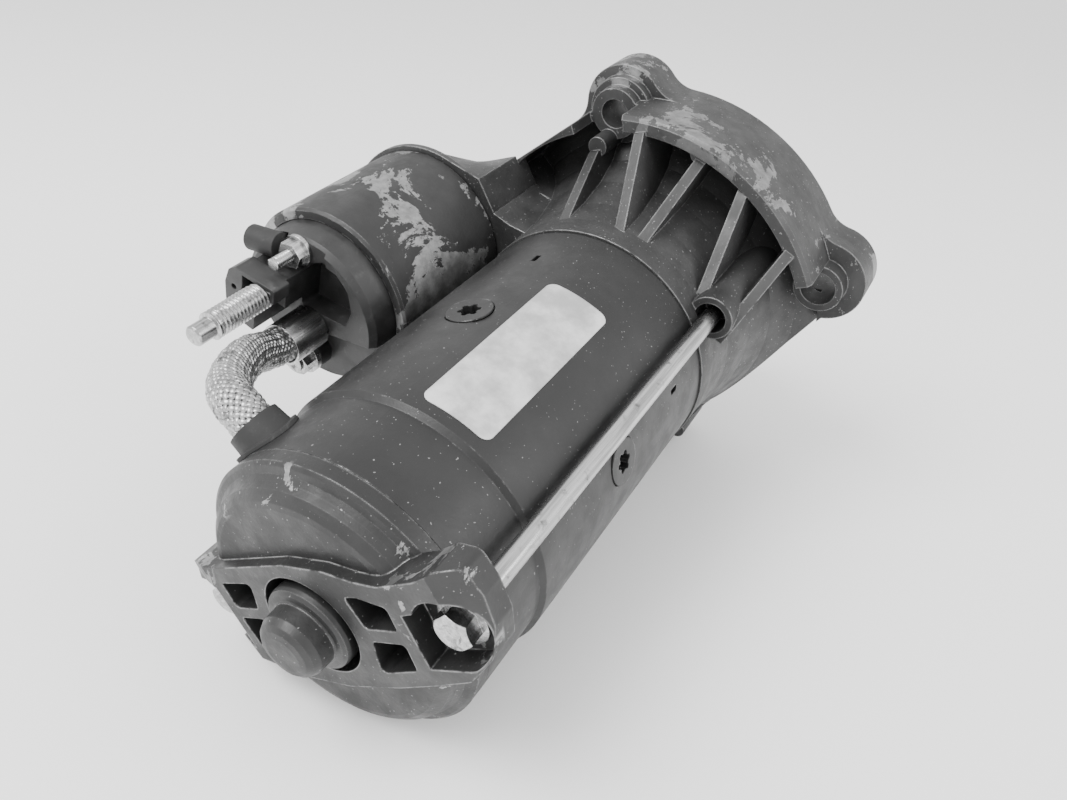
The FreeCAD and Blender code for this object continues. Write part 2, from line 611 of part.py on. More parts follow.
def slope_placement():
    """Axes for the crossbar's sloping ends: local X along the bar, local Y to the rear, local Z across it."""
    along = Vector(0, *bar_point(1, 0))
    rear = Vector(-1, 0, 0)
    return FreeCAD.Placement(SHAFT, FreeCAD.Rotation(along, rear, along.cross(rear), "ZXY"))


def end_cap_small_parts():
    keep(turned("bush_rear", [("-187.3", "journal_radius + running"), ("-187.3", "8"), ("cap_inner_x", "8"),
                              ("cap_inner_x", "journal_radius + running")]), "rear_bush")
    keep(turned("dust_cap", [
        ("pocket_floor_x", "10.15"), ("pocket_floor_x", "11.2"), ("-186.8", "11.2"), ("-187.8",
                                                                                      "10.9"), ("-188.4",
                                                                                                "10.1"),
        ("-188.6", "8.7"), ("-188.9", "8.3"), ("-192.6", "8.1"), ("-194.2", "7.3"), ("-195.1",
                                                                                     "6.1"), ("-195.4",
                                                                                              "4.6"),
        ("-195.4", "0"), ("-194.5", "0"), ("-194.5", "4.4"), ("-193.6", "6.2"), ("-192.2", "7.15"), ("-188", "7.35"),
        ("-187.4", "7.8"), ("-187.4", "10.15")]), "rear_dust_cap")


def through_bolts():
    bolts = []
    for index, (angle, seat) in enumerate(zip(BOLT_ANGLES, ("seat_a_x", "seat_b_x"))):
        axis = radial(size("bolt_circle"), angle)
        rod = cylinder(f"bolt_rod_{index}", "bolt_radius", f"bolt_tip_x - {seat}",
                       along_x(axis + Vector(size(seat), 0, 0)))
        washer = cylinder(f"bolt_washer_{index}", "6", "1.2", along_x(axis + Vector(size(seat) - 1.2, 0, 0)))
        head = prism(f"bolt_head_{index}", hexagon(8), -3.9, 0, along_x(axis + Vector(size(seat) - 1.2, 0,
                                                                                      0), 12))
        dished = cone(f"bolt_dish_{index}", "2.4", "1.6", "0.7", along_x(axis + Vector(size(seat) - 5.1, 0,
                                                                                       0)))
        corner = turned_corner(f"bolt_corner_{index}", axis, size(seat) - 5.1, 8)
        bolts.append(joined(f"bolt_{index}", [rod, washer, cut(f"bolt_hex_{index}", common(
            f"bolt_hex_round_{index}", head, corner), [dished])]))
    keep(group("bolts", bolts), "through_bolts")


def turned_corner(name, axis, rear, across_flats, length=20):
    """The round envelope that chamfers a hexagon's rear corners."""
    flat = cone(name + "_cone", across_flats / 2 - 0.1, across_flats / 2 + 1.5, "1",
                along_x(axis + Vector(rear, 0, 0)))
    body = cylinder(name + "_body", across_flats / 2 + 1.5, length, along_x(axis + Vector(rear + 1, 0, 0)))
    return joined(name, [flat, body])


# ---------------------------------------------------------------- armature

def armature():
    keep(turned("shaft", [
        ("-191.6", "0"), ("-191.6", "4.6"), ("-190.2", "4.6"), ("-190.2", "3.9"), ("-189", "3.9"), ("-189", "4.9"),
        ("-187.4", "4.9"), ("-187.4", "journal_radius"), ("cap_inner_x + 1.2", "journal_radius"),
        ("cap_inner_x + 1.2", "7"), ("-150", "7"), ("-150", "seat_radius"), ("-74", "seat_radius"),
        ("-74", "drive_radius"), ("-16", "drive_radius"), ("-16", "front_radius"), ("21", "front_radius"),
        ("21", "journal_radius"), ("nose_length - 1.9", "journal_radius"), ("nose_length - 1.9", "0")]),
         "armature_shaft")
    keep(turned("core", [("core_rear_x", "seat_radius"), ("core_rear_x", "core_radius"),
                         ("core_front_x", "core_radius"), ("core_front_x", "seat_radius")]), "armature_core")
    front = turned("winding_front", [("core_front_x", "10"), ("core_front_x", "24.6"), ("core_front_x + 6",
                                                                                        "23.6"),
                                     ("core_front_x + 8.5", "21"), ("core_front_x + 8.5", "10")])
    rear = turned("winding_rear", [("core_rear_x", "10"), ("core_rear_x", "24.4"), ("core_rear_x - 5",
                                                                                    "23.4"),
                                   ("core_rear_x - 7.5", "21.5"), ("core_rear_x - 7.5", "10")])
    keep(group("winding", [front, rear]), "armature_winding")
    keep(turned("commutator_drum", [("-170.3", "7"), ("-170.3", "commutator_radius"), ("-152",
                                                                                       "commutator_radius"),
                                    ("-152", "21.4"), ("-150", "21.4"), ("-150", "7")]), "commutator")
    keep(turned("clip", [("-190.1", "3.9"), ("-190.1", "6.6"), ("-189.1", "6.6"), ("-189.1", "3.9")]),
         "rear_clip")
    keep(turned("washer", [("cap_inner_x + 0.1", "journal_radius"), ("cap_inner_x + 0.1", "10"),
                           ("cap_inner_x + 1.1", "10"), ("cap_inner_x + 1.1",
                                                         "journal_radius")]), "thrust_washer")
    keep(turned("stop_ring", [("17.2", "front_radius"), ("17.2", "10.4"), ("20.8", "10.4"), ("20.8",
                                                                                             "front_radius")]),
         "pinion_stop")


def brush_gear():
    disc = turned("brush_disc", [("-173.4", "21.5"), ("-173.4", "33"), ("-172", "33"), ("-172", "21.5")])
    keep(cut("brush_disc_notched", disc, [cylinder("brush_disc_notch", "8.8", "8", grommet_axis(-2))]),
         "brush_plate")
    boxes, brushes, springs = [], [], []
    for index in range(4):
        middle = size("brush_first_angle") + 90 * index
        place = outward(SHAFT, middle)
        outer = box(f"holder_outer_{index}", (-172, -6.2, 21.8), ("18", "12.4", "6.6"), place)
        inner = box(f"holder_inner_{index}", (-169.8, -5.05, 21), ("13.6", "10.1", "9"), place)
        boxes.append(cut(f"holder_{index}", outer, [inner]))
        block = box(f"brush_block_{index}", (-169.7, -5, 18), ("13.4", "10", "10"), place)
        round_face = cylinder(f"brush_face_{index}", "commutator_radius + 0.05", "30", along_x(Vector(-175, 0, 0)))
        brushes.append(cut(f"brush_{index}", block, [round_face]))
        ring = cylinder(f"spring_outer_{index}", "2.6", "8", along_x(radial(30.6, middle, -167)))
        hole = cylinder(f"spring_inner_{index}", "1.7", "8", along_x(radial(30.6, middle, -167)))
        springs.append(cut(f"spring_{index}", ring, [hole]))
    keep(group("holders", boxes), "brush_holders")
    keep(group("brush_set", brushes), "brushes")
    keep(group("spring_set", springs), "brush_springs")


# ---------------------------------------------------------------- sliding drive

def sliding_drive():
    bore = "drive_radius + running"
    keep(turned("sleeve", [("-57", bore), ("-57", "11"), ("shell_rear_x", "11"), ("shell_rear_x", bore)]),
         "drive_sleeve")
    keep(turned("collar", [("collar_x - 5.6", "11"), ("collar_x - 5.6", "17"), ("collar_x - 3.5", "17"),
                           ("collar_x - 3.5", "12.4"), ("collar_x + 3.5", "12.4"), ("collar_x + 3.5", "17"),
                           ("collar_x + 5.6", "17"), ("collar_x + 5.6", "11")]), "lever_collar")
    keep(turned("shell", [
        ("shell_rear_x", bore), ("shell_rear_x", "shell_radius - 1"), ("shell_rear_x + 1", "shell_radius"),
        ("shell_rear_x + shell_length - 1", "shell_radius"), ("shell_rear_x + shell_length",
                                                              "shell_radius - 1"),
        ("shell_rear_x + shell_length", "race_radius + 0.4"), ("shell_rear_x + shell_length - 2.4",
                                                               "race_radius + 0.4"),
        ("shell_rear_x + shell_length - 2.4", "15.8"), ("shell_rear_x + 3.4",
                                                        "15.8"), ("shell_rear_x + 3.4", bore)]),
         "clutch_shell")
    rollers = [cylinder(f"roller_{index}", "2.5", "12", along_x(radial(13.15, 72 * index, -37)))
               for index in range(5)]
    keep(group("rollers", rollers), "clutch_rollers")
    keep(pinion(), "pinion")


def pinion():
    """The pinion with its neck and the clutch's inner race, in one forging."""
    teeth = int(size("pinion_teeth"))
    module = size("pinion_module")
    pitch = module * teeth / 2
    tip = pitch + 1.05 * module
    root = pitch - 1.1 * module
    blank = turned("pinion_blank", [
        ("-38.4", "front_radius + 1 + running"), ("-38.4", "race_radius"), ("pinion_rear_x", "race_radius"),
        ("pinion_rear_x", str(root)), ("pinion_rear_x + pinion_width", str(root)),
        ("pinion_rear_x + pinion_width", "front_radius + running"), ("-15", "front_radius + running"),
        ("-15", "front_radius + 1 + running")])
    corners = []
    for radius, half_width in ((root - 0.4, 2.75), (root + 0.6, 2.55), (pitch, 1.95), (tip, 0.75)):
        corners.append((radius, half_width))
    outline = [(radius, half) for radius, half in corners] + [(radius, -half) for radius,
                                                              half in reversed(corners)]
    pieces = [blank]
    for index in range(teeth):
        tooth = prism(f"tooth_{index}", outline, 0, size("pinion_width"),
                      along_x(Vector(size("pinion_rear_x"), 0, 0), 360 / teeth * index))
        pieces.append(tooth)
    lead_in = turned("pinion_lead_in", [("pinion_rear_x + pinion_width - 2", str(tip + 0.2)),
                                        ("pinion_rear_x + pinion_width - 2", "30"),
                                        ("pinion_rear_x + pinion_width + 1", "30"),
                                        ("pinion_rear_x + pinion_width + 1", str(tip - 2.6))])
    return cut("pinion_cut", joined("pinion_solid", pieces), [lead_in])


def shift_lever():
    """The lever in its own plane: local X out along the lever, local Y to the front, from the shaft axis."""
    tilt = math.atan2(size("drive_travel") / 2, size("pivot_radius"))
    along = radial(1, SOLENOID_ANGLE)
    front = Vector(1, 0, 0)
    pivot = along * size("pivot_radius") + Vector(size("pivot_x"), 0, 0)
    turn = FreeCAD.Rotation(along.cross(front), math.degrees(tilt))
    rest = FreeCAD.Placement(pivot, turn.multiply(FreeCAD.Rotation(along, front, along.cross(front), "ZXY")))
    half = size("lever_thickness") / 2
    arm = prism("lever_arm", [(-17, -3.2), (-11, -3.4), (-6, -5), (6, -5), (26, -3.2), (33.6, -3.2), (33.6, 3.2), (26, 3.2), (6, 5),
                              (-6, 5), (-11, 3.4), (-17, 3.2)], -half, half, rest)
    bridge = prism("lever_bridge", [(-18.2, -3.2), (-13, -3.2), (-13, 3.2), (-18.2, 3.2)], -20.8, 20.8, rest)
    cheeks = [prism(f"lever_cheek_{index}", [(-39.6, -3.2), (-15, -3.2), (-15, 3.2), (-39.6, 3.2)], side,
                    side + 3.2, rest)
              for index, side in enumerate((-20.8, 17.6))]
    pads = [cylinder(f"lever_pad_{index}", "3.2", "6", rest.multiply(FreeCAD.Placement(
        Vector(-size("pivot_radius"), 0, low), FreeCAD.Rotation()))) for index, low in enumerate((-18.8,
                                                                                                  12.8))]
    bore = cylinder("lever_bore", "pivot_pin_radius + running", "20", rest.multiply(
        FreeCAD.Placement(Vector(0, 0, -10), FreeCAD.Rotation())))
    hook = prism("lever_hook", [(28, -1.65), (40, -1.65), (40, 1.65), (28, 1.65)], -5, 5, rest)
    keep(cut("lever_cut", joined("lever_solid", [arm, bridge] + cheeks + pads), [bore, hook]), "shift_lever")
    keep(cylinder("lever_pin_rod", "pivot_pin_radius", "38", pivot_placement(-20)), "lever_pin")


# ---------------------------------------------------------------- solenoid

def solenoid():
    bore = "plunger_radius + running"
    can = on_solenoid("can", [
        ("can_front_x", bore), ("can_front_x", "can_radius - 0.8"), ("can_front_x - 0.8", "can_radius"),
        ("can_rear_x + 0.8", "can_radius"), ("can_rear_x", "can_radius - 0.8"), ("can_rear_x", "24.7"),
        ("-101.2", "24.7"), ("-101.2", "26"), ("-57.4", "26"), ("-57.4", bore)])
    holes = [cylinder(f"can_hole_{index}", "2.5", "10", along_x(point)) for index, point in
             enumerate(solenoid_screw_points(-8))]
    keep(cut("can_drilled", can, holes), "solenoid_can")
    keep(on_solenoid("coil_spool", [("-60.2", "10.6"), ("-60.2", "25.8"), ("-78", "25.8"), ("-78", "10.6")]),
         "solenoid_winding")
    keep(on_solenoid("core_piece", [("-70.5", "2.8"), ("-70.5", "10"), ("-78", "10"), ("-78", "25.9"),
                                    ("-82", "25.9"),
                                    ("-82", "2.8")]), "solenoid_core")
    screws = []
    for index, point in enumerate(solenoid_screw_points(0)):
        rod = cylinder(f"solenoid_screw_rod_{index}", "2.5", "8.7", along_x(point - Vector(3.3, 0, 0)))
        head = prism(f"solenoid_screw_head_{index}", hexagon(7), 5.4, 8, along_x(point, 10))
        screws.append(joined(f"solenoid_screw_{index}", [rod, head]))
    keep(group("solenoid_screw_set", screws), "solenoid_screws")
    plunger_parts()
    solenoid_cap()
    terminals()


def plunger_parts():
    body = on_solenoid("plunger_rod", [
        ("-59.5", "7"), ("-59.5", "plunger_radius"), ("-44.5", "plunger_radius"), ("-44.5", "0"), ("-50",
                                                                                                   "0"),
        ("-50", "7")])
    tongues = [box(f"plunger_tongue_{index}", (-46, low, -5), ("11", "2", "10"),
                   outward(solenoid_point(0, 0, 0), SOLENOID_ANGLE)) for index, low in enumerate((-5.4, 3.4))]
    link_pin = cylinder("plunger_link_pin", "1.5", "10.8", FreeCAD.Placement(
        solenoid_point(0, 0, -39) - radial(5.4, SOLENOID_ANGLE + 90), FreeCAD.Rotation(
            Vector(0, 0, 1), radial(1, SOLENOID_ANGLE + 90))))
    keep(joined("plunger_joined", [body] + tongues + [link_pin]), "plunger")
    keep(on_solenoid("contact_rod_turned", [("-50", "0"), ("-50", "2.5"), ("-89.5", "2.5"), ("-89.5", "0")]),
         "contact_rod")
    keep(on_solenoid("disc", [("-86", "2.5"), ("-86", "12.4"), ("-88", "12.4"), ("-88", "2.5")]),
         "contact_disc")
    keep(spring("spring_coil", -70.4, -50.1, 5.6, 0.65, 6), "plunger_spring")


def spring(name, start, end, radius, wire, turns):
    """A coil spring on the solenoid's axis."""
    pitch = (end - start - 2 * wire) / turns
    helix = Part.makeHelix(pitch, end - start - 2 * wire, radius)
    section = Part.Wire(Part.makeCircle(wire, Vector(radius, 0, 0), Vector(0, 1, 0)))
    coil = doc.addObject("Part::Feature", name)
    coil.Shape = Part.Solid(Part.Wire(helix).makePipeShell([section], True, True).Shells[0])
    coil.Placement = along_x(solenoid_point(0, 0, start + wire))
    return coil


def cap_prism(name, outline, start, end):
    """A block of the switch cover, its outline measured towards the shaft and square to that."""
    turn = math.radians(SOLENOID_ANGLE)
    corners = [(-toward * math.cos(turn) - up * math.sin(turn), up * math.cos(turn) - toward * math.sin(turn))
               for toward, up in outline]
    return prism(name, corners, start, end, contact_plane(solenoid_point(0, 0, 0)))


def solenoid_cap():
    """The moulded cover of the switch: a round base with a hooded block for the battery terminal on it."""
    rear = size("block_rear_x")
    seat = contact_plane(solenoid_point(0, 0, 0))
    base = on_solenoid("cover_base", [
        ("-82", "19.4"), ("-82", "25.9"), ("-101.2", "25.9"), ("-101.2", "24.6"), ("-104.5", "24.4"),
        ("base_rear_x + 1.6", "23.6"), ("base_rear_x", "21.8"), ("base_rear_x", "0"), ("-101.2", "0"),
        ("-101.2", "19.4")])
    block = rounded("cover_block_round", cap_prism("cover_block", [
        (-0.8, 4), (-0.8, 14.9), (-14.6, 14.9), (-16.8, 13), (-18, 8.2), (-17.6, 2.3), (-15.6, -0.8),
        (-12.3, -2.8), (-7.2, -3.4), (-7.2, 4)], rear, -106), 0.8)
    stud_room = cap_prism("cover_stud_room", [
        (-11.9, 3.9), (2, 3.9), (2, 10.4), (-2.05, 10.4), (-2.05, 13.7), (-11.9,
                                                                          13.7)], rear - 1, size("stud_seat_x"))
    dip = rounded("cover_dip_round", cap_prism("cover_dip", [
        (-2.6, 1), (13, 3), (14.5, 9), (12.5, 15), (8, 18.6), (2.5, 19), (-1.2, 16.6), (-2.6,
                                                                                        14)], -119.5, -104.2), 1.4)
    signal_step = prism("cover_signal_step", [(-9.4, 14.8), (30, 14.8), (30, 40), (-9.4, 40)], -118.4,
                        -110.6, seat)
    sleeve_trough = cylinder("cover_sleeve_trough", "4.1", "30", sleeve_axis(4))
    lug_step = prism("cover_lug_step", [(-30, -36), (30, -36), (30, -5.6), (-30, -5.6)], -120,
                     size("boss_rear_x"), seat)
    dimple = cylinder("cover_dimple", "0.9", "6", along_x(solenoid_point(11.9, 11.9, rear - 1)))
    boss = cylinder("cover_motor_boss", "5.5", "6", along_x(motor_axis(size("lug_x"))))
    shaped = cut("cover_shaped", joined("cover_solid", [base, block]),
                 [stud_room, dip, signal_step, sleeve_trough, lug_step, dimple])
    keep(cut("cover", joined("cover_with_boss", [shaped, boss]), stud_holes()), "solenoid_cap")


def battery_axis(station):
    """A point on the battery stud's axis."""
    return solenoid_point(size("stud_side"), size("stud_height"), station)


def motor_axis(station):
    """A point on the motor stud's axis."""
    return solenoid_point(size("motor_side"), size("motor_height"), station)


def signal_axis(station):
    """A point on the signal stud's axis."""
    return solenoid_point(0, 19.6, station)


def sleeve_axis(side):
    """A placement on the signal wire's sleeve, which leaves the stud along Y."""
    return FreeCAD.Placement(solenoid_point(side, 20.3, -112.6), FreeCAD.Rotation(Vector(0, 0, 1), Vector(0, 1, 0)))


def stud_holes():
    return [cylinder("battery_hole", "stud_radius - 1", "45", along_x(battery_axis(-140))),
            cylinder("motor_hole", "motor_radius", "45", along_x(motor_axis(-140))),
            cylinder("signal_hole", "1.9", "25", along_x(signal_axis(-130)))]


def terminals():
    battery_stud()
    motor_terminal()
    signal_terminal()


def battery_stud():
    tip = size("stud_tip_x")
    seat = size("stud_seat_x")
    thread = cylinder("battery_thread", "stud_radius", "stud_seat_x - stud_tip_x - 6",
                      along_x(battery_axis(tip + 6)))
    shank = cylinder("battery_shank", "stud_radius - 1", "18", along_x(battery_axis(seat - 0.5)))
    point = cylinder("battery_point", "stud_radius - 1.1", "7", along_x(battery_axis(tip)))
    head = box("battery_head", (-4, -6, -101.1), ("8", "8", "3"), contact_plane(battery_axis(0)))
    keep(joined("battery_stud_solid", [thread, shank, point, head]), "battery_stud")


def motor_terminal():
    rod = cylinder("motor_rod", "motor_radius", "17.4", along_x(motor_axis(-118)))
    head = box("motor_head", (-4, -1, -101.1), ("8", "8", "3"), contact_plane(motor_axis(0)))
    keep(joined("motor_stud_solid", [rod, head]), "motor_stud")
    rear = -117.2
    nut = prism("motor_nut_hex", hexagon(8), rear, size("lug_x") - 2, along_x(motor_axis(0)))
    nut_round = common("motor_nut_round", nut, turned_corner("motor_nut_corner", motor_axis(0), rear, 8))
    bore = cylinder("motor_nut_bore", "motor_radius", "20", along_x(motor_axis(-120)))
    keep(cut("motor_nut_cut", nut_round, [bore]), "motor_nut")


def signal_terminal():
    seat = contact_plane(signal_axis(0))
    keep(cylinder("signal_rod", "1.9", "16.2", along_x(signal_axis(-121.2))), "signal_stud")
    nut = prism("signal_nut_hex", hexagon(7), -115, -111.8, along_x(signal_axis(0)))
    keep(cut("signal_nut_cut", nut, [cylinder("signal_nut_bore", "1.9", "20", along_x(signal_axis(-125)))]),
         "signal_nut")
    ring = cylinder("signal_ring", "4.6", "1.2", along_x(signal_axis(-111.8)))
    tongue = box("signal_tongue", (0, -0.9, -111.8), ("9", "3.2", "1.2"), seat)
    bore = cylinder("signal_ring_bore", "1.9", "20", along_x(signal_axis(-125)))
    keep(cut("signal_tab", joined("signal_tab_solid", [ring, tongue]), [bore]), "signal_lug")
    sleeve = cylinder("signal_sleeve_tube", "3.7", "10.4", sleeve_axis(4.8))
    slot = box("signal_sleeve_slot", (0, -0.9, -111.8), ("9", "3.2", "1.2"), seat)
    keep(cut("signal_sleeve_cut", sleeve, [slot]), "signal_sleeve")


def contact_plane(origin):
    """Local X along Y, local Y along Z, local Z along X, from a point."""
    return FreeCAD.Placement(origin, flange_plane().Rotation)


# ---------------------------------------------------------------- field lead

def rounded_route(points):
    """Straight runs joined by tangent arcs, each as large as its two runs allow."""
    edges = []
    radii = []
    start = points[0]
    for before, corner, after in zip(points, points[1:], points[2:]):
        into = (corner - before).normalize()
        out = (after - corner).normalize()
        half_turn = into.getAngle(out) / 2
        reach = 0.45 * min((corner - before).Length, (after - corner).Length)
        radius = reach / math.tan(half_turn)
        arc_start = corner - into * reach
        arc_end = corner + out * reach
        inward = (out - into).normalize()
        centre = corner + inward * (radius / math.cos(half_turn))
        middle = centre - inward * radius
        edges.append(Part.LineSegment(start, arc_start).toShape())
        edges.append(Part.Arc(arc_start, middle, arc_end).toShape())
        radii.append(radius)
        start = arc_end
    edges.append(Part.LineSegment(start, points[-1]).toShape())
    return Part.Wire(edges), radii


def along_lead(back):
    """A placement on the lead's first run, a distance before its start, with local Z along the run."""
    return FreeCAD.Placement(LEAD_ROUTE[0] - LEAD_START * back, FreeCAD.Rotation(Vector(0, 0, 1), LEAD_START))


def field_lead():
    route, radii = rounded_route(LEAD_ROUTE)
    section = Part.Wire(Part.makeCircle(size("lead_radius"), LEAD_ROUTE[0], LEAD_START))
    tube = doc.addObject("Part::Feature", "lead_tube")
    tube.Shape = Part.Solid(route.makePipeShell([section], True, False).Shells[0])
    expected = math.pi * size("lead_radius") ** 2 * route.Length
    print("lead length", round(route.Length, 1), "radii", [round(radius, 1) for radius in radii],
          "volume over section times length", round(tube.Shape.Volume / expected, 4))
    keep(tube, "field_lead")
    return tube


def lead_lug(lead):
    """The lug crimped to the lead's end and held by the motor terminal's nut."""
    front = size("lug_x")
    ring = cylinder("lug_ring", "5.6", "2", along_x(motor_axis(front - 2)))
    plate = cylinder("lug_plate", "lead_radius + 0.8", "2", along_x(LEAD_ROUTE[0]))
    web = box("lug_web", (-4.4, 0, front - 2), ("8", "11", "2"), contact_plane(motor_axis(0)))
    barrel = cylinder("lug_barrel", "lead_radius + 0.8", "10.4", along_lead(0))
    socket = cylinder("lug_socket", "lead_radius", "20", along_lead(0))
    bore = cylinder("lug_bore", "motor_radius", "20", along_x(motor_axis(-120)))
    keep(cut("lug_cut", joined("lug_solid", [ring, plate, web, barrel]), [socket, bore, lead]), "lead_lug")


def grommet_axis(distance):
    """A placement on the lead's last run, a distance before its end, with local Z outward along the run."""
    outward_run = (LEAD_ROUTE[-2] - LEAD_ROUTE[-1]).normalize()
    return FreeCAD.Placement(LEAD_ROUTE[-1] + outward_run * distance,
                             FreeCAD.Rotation(Vector(0, 0, 1), outward_run))


def lead_grommet(lead):
    """The rubber gland in the yoke's hole: a collar inside, a thin flange outside and a neck on the lead."""
    neck = cone("grommet_neck", "7.1", "6.5", "7", grommet_axis(2.6))
    plug = cylinder("grommet_plug", "6.4", "6", grommet_axis(1.2))
    bore_room = cylinder("grommet_bore_room", "yoke_bore", "20", along_x(Vector(size("yoke_rear_x"), 0, 0)))
    inside = common("grommet_inside", cylinder("grommet_collar", "8", "5", grommet_axis(0)), bore_room)
    shell_room = ring_sector("grommet_shell_room", "yoke_bore", "yoke_tail_radius", "-190", "40", 45, 40)
    sheet = cylinder("grommet_sheet", "yoke_tail_radius + 1", "40", along_x(Vector(-190, 0, 0)))
    flange = common("grommet_flange", sheet, cylinder("grommet_trim", "8.2", "9", grommet_axis(2)))
    outside = cut("grommet_outside", joined("grommet_outer_solid", [neck, flange]), [shell_room])
    keep(cut("grommet_cut", joined("grommet_solid", [plug, inside, outside]), [lead]), "lead_grommet")


# ---------------------------------------------------------------- bushes and label

def small_parts():
    keep(turned("bush_nose", [("nose_length - 13", "journal_radius + running"), ("nose_length - 13", "8"),
                              ("nose_length - 2", "8"), ("nose_length - 2",
                                                         "journal_radius + running")]), "nose_bush")
    sheet_ring = ring_sector("label_sheet", "yoke_radius", "yoke_radius + 0.15", "-147.9", "57.5", 109.5,
                             13.8)
    doc.recompute()
    rounded_label = doc.addObject("Part::Fillet", "label_round")
    rounded_label.Base = sheet_ring
    rounded_label.Edges = [(index + 1, 2.6, 2.6) for index, edge in enumerate(sheet_ring.Shape.Edges)
                           if edge.Length < 0.3]
    keep(rounded_label, "label_plate")


drive_housing()
yoke()
pole_shoes()
pole_screws()
field_coils()
end_cap()
end_cap_small_parts()
through_bolts()
armature()
brush_gear()
sliding_drive()
shift_lever()
solenoid()
lead = field_lead()
lead_grommet(lead)
lead_lug(lead)
small_parts()
doc.recompute()

for item in doc.Objects:
    if "Invalid" in item.State or "Error" in item.State:
        raise RuntimeError(f"{item.Name} failed: {item.State}")

os.makedirs("parts", exist_ok=True)
for part in nodes:
    if part.Shape.isNull() or not part.Shape.isValid():
        raise RuntimeError(f"{part.Label} has no valid shape")
    part.Shape.exportStep(f"parts/{part.Label}.step")
    print(part.Label, len(part.Shape.Solids), round(part.Shape.Volume, 1))
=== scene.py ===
import json
import math

import bmesh
import bpy
from mathutils import Matrix, Vector


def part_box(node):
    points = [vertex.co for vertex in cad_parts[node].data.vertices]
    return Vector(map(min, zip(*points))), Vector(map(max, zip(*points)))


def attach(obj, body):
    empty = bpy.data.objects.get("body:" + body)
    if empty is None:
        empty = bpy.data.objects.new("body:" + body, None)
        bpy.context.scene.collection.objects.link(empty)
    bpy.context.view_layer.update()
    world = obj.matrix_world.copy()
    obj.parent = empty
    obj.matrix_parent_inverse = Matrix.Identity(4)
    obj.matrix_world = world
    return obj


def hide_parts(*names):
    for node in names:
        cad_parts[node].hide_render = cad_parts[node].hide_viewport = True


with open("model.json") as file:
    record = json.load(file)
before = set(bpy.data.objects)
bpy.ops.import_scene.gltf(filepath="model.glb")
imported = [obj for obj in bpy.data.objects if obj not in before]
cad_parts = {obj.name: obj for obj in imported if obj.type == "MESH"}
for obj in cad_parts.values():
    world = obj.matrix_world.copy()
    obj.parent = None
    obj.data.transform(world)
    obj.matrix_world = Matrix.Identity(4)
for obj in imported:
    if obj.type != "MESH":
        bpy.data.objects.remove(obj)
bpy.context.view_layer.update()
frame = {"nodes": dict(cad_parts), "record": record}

NODES = frame["nodes"]
MM = 0.001

# ---------------------------------------------------------------- camera, light and floor

CAMERA_PLACE = Vector((-0.2707, -0.1049, 0.1562))
CAMERA_RIGHT = Vector((0.508, -0.861, 0.0)).normalized()
CAMERA_FORWARD = Vector((0.6862, 0.4049, -0.6043)).normalized()
CAMERA_LENS = 30.66


def make_camera():
    data = bpy.data.cameras.new("camera")
    data.lens = CAMERA_LENS
    data.sensor_width = 36
    data.clip_start = 0.01
    camera = bpy.data.objects.new("camera", data)
    up = CAMERA_RIGHT.cross(CAMERA_FORWARD)
    turn = Matrix((CAMERA_RIGHT, up, -CAMERA_FORWARD)).transposed()
    camera.matrix_world = Matrix.Translation(CAMERA_PLACE) @ turn.to_4x4()
    bpy.context.scene.collection.objects.link(camera)
    bpy.context.scene.camera = camera


def make_light(name, place, target, width, power, spread=math.pi):
    data = bpy.data.lights.new(name, "AREA")
    data.shape = "RECTANGLE"
    data.size, data.size_y = width
    data.energy = power
    data.spread = spread
    light = bpy.data.objects.new(name, data)
    light.location = place
    light.rotation_mode = "QUATERNION"
    light.rotation_quaternion = (Vector(target) - Vector(place)).to_track_quat("-Z", "Y")
    bpy.context.scene.collection.objects.link(light)
    return light


def make_studio():
    """A pale floor that touches the flange and the rear end, and soft light from above."""
    front_foot = Vector((-0.006, 0.0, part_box("drive_housing")[0].z))
    rear_foot = Vector((-0.178, 0.0, -0.0367))
    slope = math.atan2(front_foot.z - rear_foot.z, front_foot.x - rear_foot.x)
    mesh = bpy.data.meshes.new("floor")
    reach = 4.0
    corners = [(-reach, -reach, 0), (reach, -reach, 0), (reach, reach, 0), (-reach, reach, 0)]
    mesh.from_pydata(corners, [], [(0, 1, 2, 3)])
    floor = bpy.data.objects.new("floor", mesh)
    floor.location = front_foot
    floor.rotation_euler = (0, -slope, 0)
    bpy.context.scene.collection.objects.link(floor)
    paint = bpy.data.materials.new("floor")
    paint.use_nodes = True
    shader = paint.node_tree.nodes["Principled BSDF"]
    shader.inputs["Base Color"].default_value = (0.98, 0.98, 0.98, 1)
    shader.inputs["Roughness"].default_value = 0.9
    mesh.materials.append(paint)
    world = bpy.data.worlds.new("studio")
    world.use_nodes = True
    world.node_tree.nodes["Background"].inputs["Color"].default_value = (1, 1, 1, 1)
    world.node_tree.nodes["Background"].inputs["Strength"].default_value = 1.5
    bpy.context.scene.world = world
    make_light("key", (-0.55, 0.35, 1.0), (-0.08, 0.0, 0.0), (0.7, 0.7), 16)
    make_light("side", (0.1, -1.0, 0.55), (-0.08, 0.0, 0.0), (0.8, 0.5), 6)


# ---------------------------------------------------------------- material nodes

